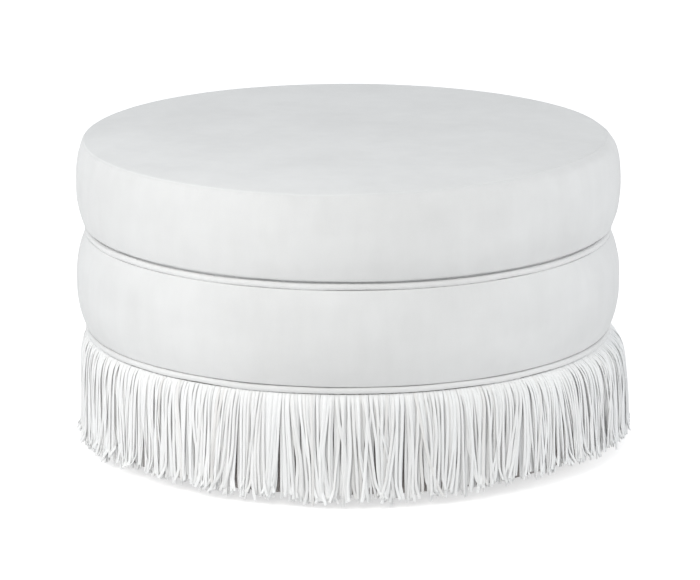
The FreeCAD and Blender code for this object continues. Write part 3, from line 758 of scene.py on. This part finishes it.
def band():
    """Second tier: closed ring of padding round the drum, drawn in over the tack strips at both waists."""
    middle = (BAND_UNDER + BAND_TOP) / 2
    under = BAND_UNDER + 0.9 * MM
    side = side_line(under, BAND_TOP, middle, (BAND_PINCH, PINCH_DROP), BAND_POWER, SIDE_RINGS)
    tuck = TACK_RADIUS - BAND_TUCK
    clear = TACK_RADIUS + 0.2 * MM
    upper_hem, lower_hem = BAND_TOP - FABRIC, BAND_UNDER + FABRIC
    drum = SHELL_RADIUS + CLOTH_GAP
    inside = [
        (side[-1][0] - 1.0 * MM, BAND_TOP), (tuck, BAND_TOP), (tuck, upper_hem + 0.1 * MM),
        (clear, upper_hem + 0.1 * MM), (clear, upper_hem - TACK_HEIGHT - TACK_GAP),
        (drum, BAND_TOP - BAND_SLOPE), (drum, BAND_UNDER + BAND_SLOPE),
        (clear, lower_hem + TACK_HEIGHT + TACK_GAP), (clear, lower_hem - 0.08 * MM),
        (tuck, lower_hem - 0.08 * MM), (tuck, under), (side[0][0] - 0.6 * MM, under),
    ]
    profile = side + spaced(inside, 12 * MM)
    points = turned(AROUND, profile)
    made = piece(
        "band_cushion", points, ring_faces(AROUND, len(profile), closed=True), SIDE_VELVET,
        ("side_foam", "side_wadding", "lower_boxing"),
    )
    held = {
        index: 1.0 for index in range(len(points))
        if index // AROUND == 0 or index // AROUND >= len(side) - 1
    }
    inflate(made, held, BAND_SWELL)
    smooth_once(made)
    move_to(made.data, settle(coordinates(made.data), 31))


def welt(name, level, hem_end, seed, replaced):
    """Velvet rolled round its cord, a little uneven, its two layers of hem running up or down inside."""
    turn = 1.0 if hem_end < level else -1.0
    inner = WELT_CIRCLE - WELT_RADIUS + 0.1 * MM
    outer = WELT_CIRCLE - WELT_RADIUS + WELT_HEM_WIDTH
    roll = [
        (WELT_CIRCLE + WELT_RADIUS * math.cos(angle), level + turn * WELT_RADIUS * math.sin(angle))
        for angle in np.linspace(math.pi, math.pi - math.radians(WELT_WRAP), 22)
    ]
    profile = [(inner, hem_end), (inner, (level + hem_end) / 2)] + roll
    profile += [(outer, level - turn * (WELT_RADIUS + 0.6 * MM)), (outer, hem_end)]
    if turn < 0:
        profile.reverse()
    points = turned(WELT_AROUND, profile)
    turns = np.arctan2(points[:, 1], points[:, 0])
    across = np.hypot(points[:, 0], points[:, 1])
    from_cord = np.stack([across - WELT_CIRCLE, points[:, 2] - level], axis=1)
    slope = np.arctan2(from_cord[:, 1], from_cord[:, 0])
    far = np.hypot(from_cord[:, 0], from_cord[:, 1])
    on_roll = np.clip(1 - np.abs(far - WELT_RADIUS) / MM, 0, 1) * (across > WELT_CIRCLE - 1 * MM)
    ripples = swings(turns + slope * 0.02, (97, 131, 173, 211), seed) * WELT_RIPPLE
    swell = swings(turns, (9, 14, 23), seed + 1) * WELT_SWELL
    thickness = 1 + (ripples + swell) / WELT_RADIUS * on_roll
    lift = swings(turns, (5, 8, 13, 19), seed + 2) * WELT_LIFT * on_roll
    new_across = WELT_CIRCLE + from_cord[:, 0] * thickness
    points[:, 0] *= new_across / across
    points[:, 1] *= new_across / across
    points[:, 2] = level + from_cord[:, 1] * thickness + lift
    faces = ring_faces(WELT_AROUND, len(profile), closed=True)
    return piece(name, points, [face[::-1] for face in faces], WELT_VELVET, replaced)


# The fringe
def hang_strips():
    """Which strips are outer ones, and their place along the girth, radius, height and twist by level."""
    draw = np.random.default_rng(5)
    outer = np.repeat((False, True), (INNER_STRIPS, OUTER_STRIPS))
    count = len(outer)
    share = np.linspace(0.0, 1.0, LEVELS)[:, None] ** 1.3
    loose = np.where(outer, 1.0, INNER_LOOSE)
    turns, along, pace = drifting(draw, outer, share, loose)
    side = 0.5 + 0.5 * np.cos(turns)
    flare = FLARE * side ** 1.8
    inmost, outmost = hanging_room(share, flare)
    depth = np.where(outer, draw.uniform(*OUTER_DEPTH, count), draw.uniform(*INNER_DEPTH, count))
    wanted = inmost + (outmost - inmost) * depth
    top = TAPE_RADIUS + np.where(outer, 1.6, 0.55) * STRIP_WALL
    settled = np.clip(share / 0.05, 0, 1)
    wanted = top * (1 - settled) + wanted * settled
    along, across = push_apart(along, wanted.copy(), wanted, inmost, outmost)
    ends = END_HEIGHT + END_FLARE * flare + END_WAVE * np.sin(2 * turns) ** 2
    ends += draw.normal(0, OWN_ENDS, count) + swings(turns, (9, 21, 33), 57) * SHARED_ENDS
    ends = np.clip(ends, *END_RANGE)
    height = (TAPE_TOP - STRIP_TOP) * (1 - share) + ends * share
    flick = np.where(draw.uniform(size=count) < FLICK_SHARE, draw.uniform(*FLICK_REACH, count), 0.0)
    flick = flick * np.clip((share - FLICK_START) / (1 - FLICK_START), 0, 1) ** 1.6
    across = across + flick * (1 - 0.45 * side)
    along = along + flick * np.where(draw.uniform(size=count) < 0.5, -0.8, 0.8)
    height = height + flick * 0.25
    twist = draw.normal(0, TWIST, count) * share
    twist = twist + draw.normal(0, SWAY_TWIST, count) * np.sin(TAU * pace * share)
    return outer, (along, across, height, loose * twist)


def drifting(draw, outer, share, loose):
    """Each strip's turn at the tape, its place along the girth level by level, and how fast it sways."""
    count = len(outer)
    start = np.concatenate([
        (np.arange(strips) + draw.uniform(-0.3, 0.3, strips)) * GIRTH / strips
        for strips in (INNER_STRIPS, OUTER_STRIPS)
    ])
    turns = start / HANG_RADIUS
    drift = swings(turns, (7, 11, 17, 29, 41), 51) * SHARED_DRIFT + draw.normal(0, OWN_DRIFT, count)
    sway = swings(turns, (13, 23, 37), 53) * SHARED_SWAY + draw.normal(0, OWN_SWAY, count)
    drift, sway = loose * drift, loose * sway
    pace = draw.uniform(*SWAY_PACE, count)
    phase = draw.uniform(0, TAU, count)
    along = start + drift * share ** 1.3
    along = along + sway * (np.sin(TAU * pace * share + phase) - np.sin(phase)) * share
    centres = np.sort(draw.uniform(0, GIRTH, GROUPS))
    gap = (centres[None, :] - (start + drift)[:, None] + GIRTH / 2) % GIRTH - GIRTH / 2
    pull = gap[np.arange(count), np.abs(gap).argmin(axis=1)]
    pull = np.where(outer, np.clip(pull, -GROUP_REACH, GROUP_REACH), 0.0)
    return turns, along + pull * GROUP_PULL * share ** 2.2, pace


def hanging_room(share, flare):
    """Smallest and largest radius that a strip may hang at, level by level."""
    swell = 1 - np.exp(-share / 0.03)
    inmost = TAPE_RADIUS + 0.7 * STRIP_WALL + (INNER_ROOM + 0.75 * flare) * swell * share ** 0.3
    outmost = TAPE_RADIUS + OUTER_START + (OUTER_ROOM + flare * (0.5 + 0.5 * share ** 0.5)) * swell
    return inmost, outmost


def push_apart(along, across, wanted, inmost, outmost):
    """Moves strips that overlap at a level sideways and in depth until they only touch."""
    wide, thick = STRIP_WIDTH * 0.98, STRIP_WALL * 1.15
    home = along.copy()
    for _ in range(PUSH_ROUNDS):
        order = np.argsort(along, axis=1)
        line = np.take_along_axis(along, order, 1)
        deep = np.take_along_axis(across, order, 1)
        move_line, move_deep = np.zeros_like(line), np.zeros_like(deep)
        for offset in range(1, PUSH_NEIGHBOURS + 1):
            beside = (np.roll(line, -offset, 1) - line) % GIRTH / wide
            before = (np.roll(deep, -offset, 1) - deep) / thick
            apart = np.hypot(beside, before) + 1e-6
            push = np.clip(1 - apart, 0, None) * PUSH_FORCE
            aside = push * beside / apart * wide * PUSH_ASIDE
            ahead = push * before / apart * thick * PUSH_AHEAD
            move_line += np.roll(aside, offset, 1) - aside
            move_deep += np.roll(ahead, offset, 1) - ahead
        for changed, moves in ((along, move_line), (across, move_deep)):
            back = np.empty_like(moves)
            np.put_along_axis(back, order, moves, 1)
            back[0] = 0
            changed += np.clip(back, -PUSH_STEP, PUSH_STEP)
        along[1:-1] += SMOOTH_ASIDE * (along[:-2] + along[2:] - 2 * along[1:-1])
        across[2:-1] += SMOOTH_AHEAD * (across[1:-2] + across[3:] - 2 * across[2:-1])
        along += PUSH_RETURN * (home - along)
        across += PUSH_RETURN * (wanted - across)
        across[1:] = np.clip(across, inmost, outmost)[1:]
    return along, across


def strip_section(draw, count):
    """Cross-section of each flat strip: its corners' offsets across the width and through the thickness."""
    angles = np.linspace(0, TAU, 8, endpoint=False) + math.pi / 8
    width = STRIP_WIDTH * draw.uniform(0.86, 1.1, count)[:, None] / 2
    wall = STRIP_WALL * draw.uniform(0.9, 1.1, count)[:, None] / 2
    across = np.sign(np.cos(angles)) * np.abs(np.cos(angles)) ** 0.75
    through = np.sign(np.sin(angles)) * np.abs(np.sin(angles)) ** 0.9
    return width * across, wall * through


def fringe(name, chosen, paths, seed, replaced):
    """One layer of the fringe as a mesh of separate strips."""
    along, across, height, twist = [each[:, chosen] for each in paths]
    count = along.shape[1]
    draw = np.random.default_rng(seed)
    turns = along / HANG_RADIUS
    middle = np.stack([across * np.cos(turns), across * np.sin(turns), height], axis=2)
    run = np.gradient(middle, axis=0)
    run /= np.linalg.norm(run, axis=2, keepdims=True)
    facing = turns + twist
    outward = np.stack([np.cos(facing), np.sin(facing), np.zeros_like(facing)], axis=2)
    outward -= run * (outward * run).sum(axis=2, keepdims=True)
    outward /= np.linalg.norm(outward, axis=2, keepdims=True)
    sideways = np.cross(run, outward)
    wide, thick = strip_section(draw, count)
    corners = wide.shape[1]
    points = (
        middle[:, :, None, :]
        + sideways[:, :, None, :] * wide[None, :, :, None]
        + outward[:, :, None, :] * thick[None, :, :, None]
    )
    slant = draw.normal(0, 0.22, count)
    points[-1, :, :, 2] += wide * slant[:, None]
    points[..., 2] = np.maximum(points[..., 2], FLOOR_CLEAR)
    points = points.transpose(1, 0, 2, 3).reshape(-1, 3)
    faces = []
    for strip in range(count):
        first = strip * LEVELS * corners
        for level in range(LEVELS - 1):
            low = first + level * corners
            for here in range(corners):
                after = (here + 1) % corners
                faces.append((low + here, low + after, low + corners + after, low + corners + here))
        faces.append([first + here for here in reversed(range(corners))])
        faces.append([first + (LEVELS - 1) * corners + here for here in range(corners)])
    return piece(name, points, faces, STRIP, replaced, sharp=50)


def heading():
    """Woven tape that the strips are sewn to."""
    inner, outer = LINING_RADIUS + LINING_GAP, TAPE_RADIUS
    profile = [(outer, TAPE_UNDER), (outer, TAPE_TOP), (inner, TAPE_TOP), (inner, TAPE_UNDER)]
    profile = spaced(profile + profile[:1], 3.5 * MM)[:-1]
    points = turned(HEADING_AROUND, profile)
    faces = ring_faces(HEADING_AROUND, len(profile), closed=True)
    made = piece("fringe_heading", points, faces, TAPE, ("fringe_tape",), sharp=40)


def lining():
    """Grey cloth round the foot of the drum, turned in under the base board in small pleats."""
    inner, outer = SHELL_RADIUS + LINING_GAP, LINING_RADIUS - 0.05 * MM
    corner = outer - 0.7 * MM
    line = [
        (outer, LINING_UNDER + 0.6 * MM), (outer, LINING_TOP),
        (inner, LINING_TOP), (inner, BASE_UNDER - LINING_GAP),
        (TURN_IN, BASE_UNDER - LINING_GAP), (TURN_IN, LINING_UNDER),
        (DUST_RADIUS, LINING_UNDER), (corner, LINING_UNDER),
    ]
    profile = spaced(line + line[:1], 6 * MM)[:-1]
    points = turned(LINING_AROUND, profile)
    turns = np.arctan2(points[:, 1], points[:, 0])
    across = np.hypot(points[:, 0], points[:, 1])
    pleats = np.sin(math.pi * np.clip((across - DUST_RADIUS) / (corner - DUST_RADIUS), 0, 1))
    under = points[:, 2] < LINING_UNDER + 0.3 * MM
    points[under, 2] -= np.abs(swings(turns, (72, 96, 131), 61))[under] * pleats[under] * PLEAT
    faces = ring_faces(LINING_AROUND, len(profile), closed=True)
    made = piece("plinth_lining", points, faces, LINING, ("plinth_cover",), sharp=50)


def dust_sheet():
    """Thin black cloth stapled under the base board, its rim lapped under the lining's turned edge."""
    rim = DUST_RADIUS - 0.4 * MM
    around = 8 * DUST_HALF
    lapped = DUST_UNDER + 0.05 * MM
    on_board = BASE_UNDER - 0.8 * MM

    def under(across):
        slope = np.clip((TURN_IN - 0.5 * MM - across) / DUST_SLOPE, 0, 1)
        return lapped + (on_board - lapped) * slope

    def over(across):
        return under(across) + DUST_WALL

    points = list(turned(around, [(rim, under(rim)), (rim, over(rim))]))
    faces = ring_faces(around, 2)
    top, top_faces = disc_grid(DUST_HALF, rim, over, around, len(points))
    points += top
    bottom, bottom_faces = disc_grid(DUST_HALF, rim, under, 0, len(points), flip=True)
    points += bottom
    faces += top_faces + bottom_faces
    made = piece("dust_sheet", points, faces, DUST, ("dust_cover",), sharp=50)


# Camera, light and floor
def plain_view():
    bpy.context.scene.view_settings.view_transform = "Standard"


def main_camera():
    """Camera matched to the photo: 6 m in front, 1.69 m up, looking 14 degrees down."""
    data = bpy.data.cameras.new("camera")
    data.sensor_width = 36.0
    data.lens = CAMERA_LENS
    data.clip_end = 60.0
    camera = bpy.data.objects.new("camera", data)
    camera.location = CAMERA_PLACE
    camera.rotation_euler = (math.radians(90.0 - CAMERA_DOWN), 0.0, 0.0)
    bpy.context.scene.collection.objects.link(camera)
    bpy.context.scene.camera = camera


def white_behind():
    """Soft light from all round. The camera, gloss and glass see plain white instead."""
    world = bpy.data.worlds.new("studio")
    world.use_nodes = True
    bpy.context.scene.world = world
    tree = world.node_tree
    soft = tree.nodes["Background"]
    soft.inputs["Color"].default_value = WORLD_COLOUR
    soft.inputs["Strength"].default_value = WORLD_STRENGTH
    white = tree.nodes.new("ShaderNodeBackground")
    white.inputs["Color"].default_value = PURE_WHITE
    white.inputs["Strength"].default_value = 1.0
    path = tree.nodes.new("ShaderNodeLightPath")
    seen = path.outputs["Is Camera Ray"]
    for other in ("Is Glossy Ray", "Is Transmission Ray"):
        either = tree.nodes.new("ShaderNodeMath")
        either.operation = "MAXIMUM"
        tree.links.new(seen, either.inputs[0])
        tree.links.new(path.outputs[other], either.inputs[1])
        seen = either.outputs[0]
    mix = tree.nodes.new("ShaderNodeMixShader")
    tree.links.new(seen, mix.inputs[0])
    tree.links.new(soft.outputs[0], mix.inputs[1])
    tree.links.new(white.outputs[0], mix.inputs[2])
    tree.links.new(mix.outputs[0], tree.nodes["World Output"].inputs["Surface"])


def floor():
    """Plain pale floor that keeps the object's shadow and is white to the camera away from it."""
    mesh = bpy.data.meshes.new("floor")
    signs = ((-1, -1), (1, -1), (1, 1), (-1, 1))
    corners = [(across * FLOOR_REACH, deep * FLOOR_REACH, 0) for across, deep in signs]
    mesh.from_pydata(corners, [], [(0, 1, 2, 3)])
    made = bpy.data.objects.new("floor", mesh)
    bpy.context.scene.collection.objects.link(made)
    m = Nodes("floor")
    speckle = m.noise(3.0, 2.0, 0.5)
    m.set(Base_Color=m.ramp(speckle, (0.3, grey(0.84)), (0.7, grey(0.86))), Roughness=0.9)
    m.plain(specular=0.0)
    m.shader.inputs["Emission Color"].default_value = PURE_WHITE
    seen = m.add("ShaderNodeLightPath").outputs["Is Camera Ray"]
    m.set(Emission_Strength=m.maths("MULTIPLY", seen, FLOOR_GLOW))
    mesh.materials.append(m.material)


def soft_box(name, azimuth, elevation, away, size, power, colour):
    """Large square lamp aimed at the middle of the object. Azimuth 0 is in front and 90 on the right."""
    data = bpy.data.lights.new(name, "AREA")
    data.shape = "SQUARE"
    data.size = size
    data.energy = power
    data.color = colour
    lamp = bpy.data.objects.new(name, data)
    turn, rise = math.radians(azimuth), math.radians(elevation)
    lamp.location = (
        away * math.sin(turn) * math.cos(rise),
        -away * math.cos(turn) * math.cos(rise),
        AIM_HEIGHT + away * math.sin(rise),
    )
    lamp.rotation_euler = (math.pi / 2 - rise, 0.0, turn)
    lamp.visible_camera = False
    bpy.context.scene.collection.objects.link(lamp)


# Velvets and cloths
# The top velvet carries painted light, lighter towards the front left and darker towards the back right
TOP_VELVET = velvet("top_velvet", light=0.80, warm=0.0, streak=(1.0, 1.0, 0.5), painted_front_light=True)
# The side velvet carries painted shade along the band's lower edge, above the lower welt
SIDE_VELVET = velvet(
    "side_velvet", light=0.80, warm=0.002, streak=(1.0, 1.0, 0.25),
    seams=(SEAM, BAND_TOP, BAND_UNDER), crease=(BAND_UNDER,),
)
# The welt is the tiers' velvet made a little lighter: painted highlight on its round roll
WELT_VELVET = velvet("welt_velvet", light=0.82, warm=0.004, streak=(1.0, 1.0, 1.0))
STRIP = soft_strip()
LINING = woven("plinth_lining", (0.54, 0.50, 0.49), 1.2 * MM)
# Heading tape: its own cloth colour, made darker as painted shade in the narrow gap between the lower welt
# and the strips
TAPE = woven("heading_tape", (0.40, 0.375, 0.355), 0.9 * MM)
DUST = woven("dust_cloth", (0.028, 0.028, 0.030), 1.5 * MM)

# The scene
plain_view()
finish_cad()
main_camera()
seat()
band()
welt("upper_welt_roll", UPPER_WELT, UPPER_WELT - WELT_HEM, 71, ("upper_welt", "upper_welt_cord"))
welt("lower_welt_roll", LOWER_WELT, LOWER_WELT + WELT_HEM, 73, ("lower_welt", "lower_welt_cord"))
lining()
heading()
dust_sheet()
outer_layer, hanging = hang_strips()
fringe("fringe_inner", ~outer_layer, hanging, 81, ("fringe_strands_inner",))
fringe("fringe_outer", outer_layer, hanging, 83, ("fringe_strands_outer",))
white_behind()
floor()
for lamp in LAMPS:
    soft_box(*lamp)
